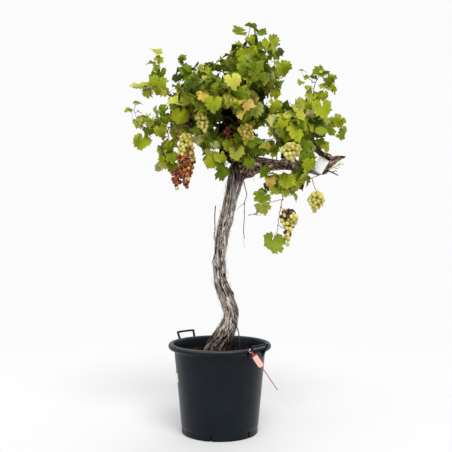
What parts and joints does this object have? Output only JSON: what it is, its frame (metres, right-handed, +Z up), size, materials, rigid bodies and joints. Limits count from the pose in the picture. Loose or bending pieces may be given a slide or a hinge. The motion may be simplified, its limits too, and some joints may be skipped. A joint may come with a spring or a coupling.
{
  "type": "potted grapevine",
  "caption": "Old trained grapevine with a gnarled leaning trunk, a spreading leafy crown and hanging fruit, growing in a round nursery pot with rim handles.",
  "frame": {"origin": "middle of the pot's flat underside", "axes": "+Z up, +X towards the long bare arm, -Y towards the side that the pot's tag hangs on"},
  "size_m": [1.091, 0.673, 2.0025],
  "materials": {
    "pot": "dark grey moulded plastic with a soft sheen",
    "soil": "moist reddish brown bark compost",
    "bark": "grey-brown fibrous peeling bark",
    "cane": "smooth reddish brown young cane",
    "leaves": "matt green vine leaves, some yellowing",
    "grapes": "pale green and amber grapes with a light bloom",
    "tag": "smooth pink plastic",
    "card": "smooth white card"
  },
  "bodies": {
    "root": {"pot_shell": "pot", "soil_fill": "soil", "pot_handle_back": "pot", "pot_handle_front": "pot", "pot_sticker": "card", "pot_tag": "tag", "trunk": "bark", "arm_right": "bark", "arm_right_end": "bark", "spur_right": "bark", "arm_left": "bark", "limb_middle": "bark", "limb_back": "bark", "cane_left": "cane", "cane_hanging": "cane", "cane_hanging_side": "cane", "arm_label": "card", "leaves_arm_front": "leaves", "leaves_crest_left": "leaves", "leaves_fork": "leaves", "leaves_fork_left": "leaves", "leaves_hanging_leaf": "leaves", "leaves_hanging_pair": "leaves", "leaves_left": "leaves", "leaves_left_back": "leaves", "leaves_left_bud": "leaves", "leaves_left_drop": "leaves", "leaves_left_front": "leaves", "leaves_left_low": "leaves", "leaves_left_outer": "leaves", "leaves_left_shoot": "leaves", "leaves_left_spray": "leaves", "leaves_left_under": "leaves", "leaves_middle": "leaves", "leaves_middle_back": "leaves", "leaves_middle_front": "leaves", "leaves_plume": "leaves", "leaves_right": "leaves", "leaves_right_back": "leaves", "leaves_right_front": "leaves", "leaves_right_low": "leaves", "leaves_right_outer": "leaves", "leaves_right_shoot": "leaves", "leaves_under_arm": "leaves", "leaves_upper": "leaves", "leaves_upper_back": "leaves", "leaves_upper_front": "leaves"}
  },
  "joints": []
}
